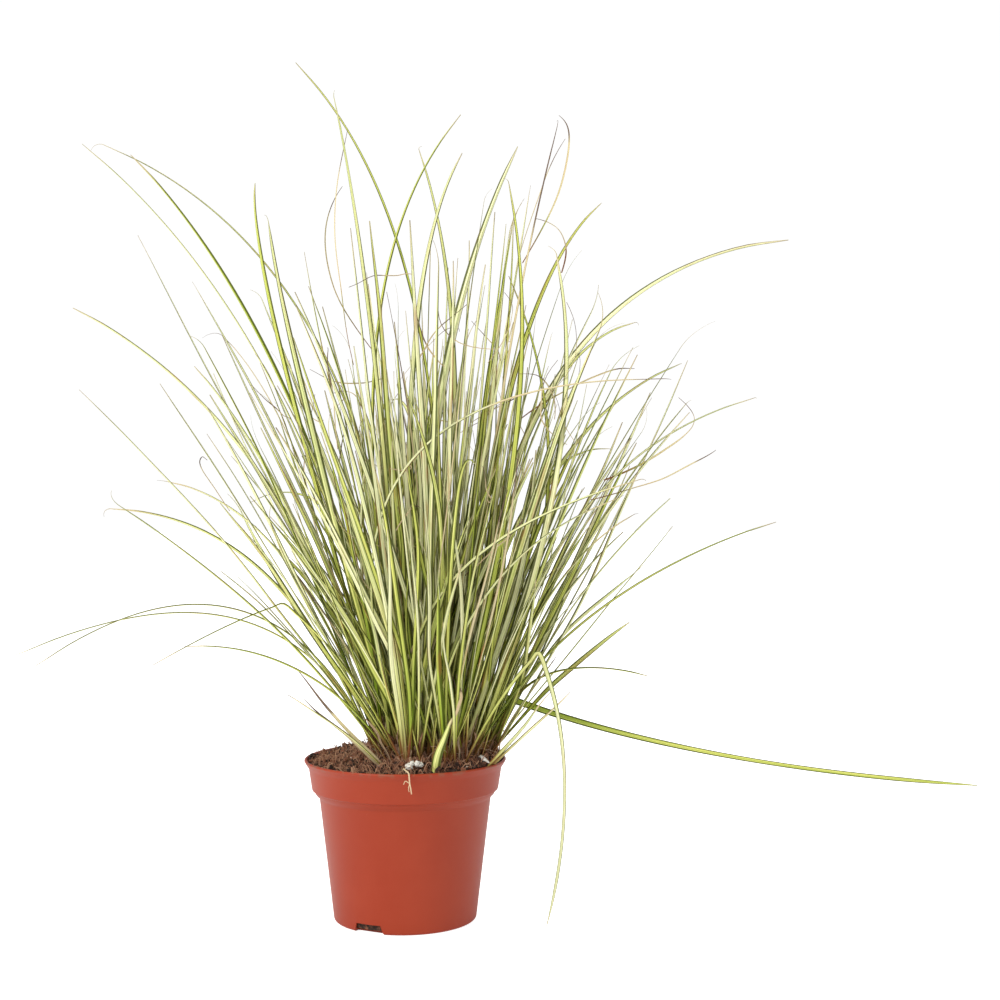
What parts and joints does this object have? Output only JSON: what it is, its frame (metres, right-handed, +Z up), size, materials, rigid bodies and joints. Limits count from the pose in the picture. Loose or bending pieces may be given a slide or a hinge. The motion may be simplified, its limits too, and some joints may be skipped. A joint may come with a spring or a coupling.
{
  "type": "potted ornamental grass clump",
  "caption": "Clump of arching variegated sedge leaves growing from potting mix in a round plastic nursery pot",
  "frame": {"origin": "centre of the pot's underside, on the surface that the pot stands on", "axes": "+Z up; -Y is the front, where a dry root hangs over the lip; +X is the side of the longest low leaf"},
  "size_m": [0.571, 0.3562, 0.5151],
  "materials": {
    "terracotta_plastic": "satin moulded terracotta-red plastic, lightly scuffed",
    "potting_mix": "moist crumbly brown peat and bark fibre, matt",
    "perlite": "white expanded mineral grains, matt and pitted",
    "dry_root": "dry light-brown root, matt",
    "leaf": "striped green and cream leaf with a soft gloss, tan or dark dry tip",
    "tuft": "bundle of fine striped leaves, brown sheaths at the foot"
  },
  "bodies": {
    "root": {"pot": "terracotta_plastic", "potting_mix": "potting_mix", "perlite_1": "perlite", "perlite_2": "perlite", "rim_root": "dry_root", "leaf_01": "leaf", "leaf_02": "leaf", "leaf_03": "leaf", "leaf_04": "leaf", "leaf_05": "leaf", "leaf_06": "leaf", "leaf_07": "leaf", "leaf_08": "leaf", "leaf_09": "leaf", "leaf_10": "leaf", "leaf_11": "leaf", "leaf_12": "leaf", "leaf_13": "leaf", "leaf_14": "leaf", "leaf_15": "leaf", "leaf_16": "leaf", "leaf_17": "leaf", "leaf_18": "leaf", "leaf_19": "leaf", "leaf_20": "leaf", "leaf_21": "leaf", "leaf_22": "leaf", "leaf_23": "leaf", "leaf_24": "leaf", "leaf_25": "leaf", "leaf_26": "leaf", "leaf_27": "leaf", "leaf_28": "leaf", "leaf_29": "leaf", "leaf_30": "leaf", "leaf_31": "leaf", "leaf_32": "leaf", "leaf_33": "leaf", "leaf_34": "leaf", "leaf_35": "leaf", "leaf_36": "leaf", "leaf_37": "leaf", "leaf_38": "leaf", "leaf_39": "leaf", "leaf_40": "leaf", "leaf_41": "leaf", "creased_leaf_1": "leaf", "creased_leaf_2": "leaf", "creased_leaf_3": "leaf", "tuft_01": "tuft", "tuft_02": "tuft", "tuft_03": "tuft", "tuft_04": "tuft", "tuft_05": "tuft", "tuft_06": "tuft", "tuft_07": "tuft", "tuft_08": "tuft", "tuft_09": "tuft", "tuft_10": "tuft", "tuft_11": "tuft"}
  },
  "joints": []
}
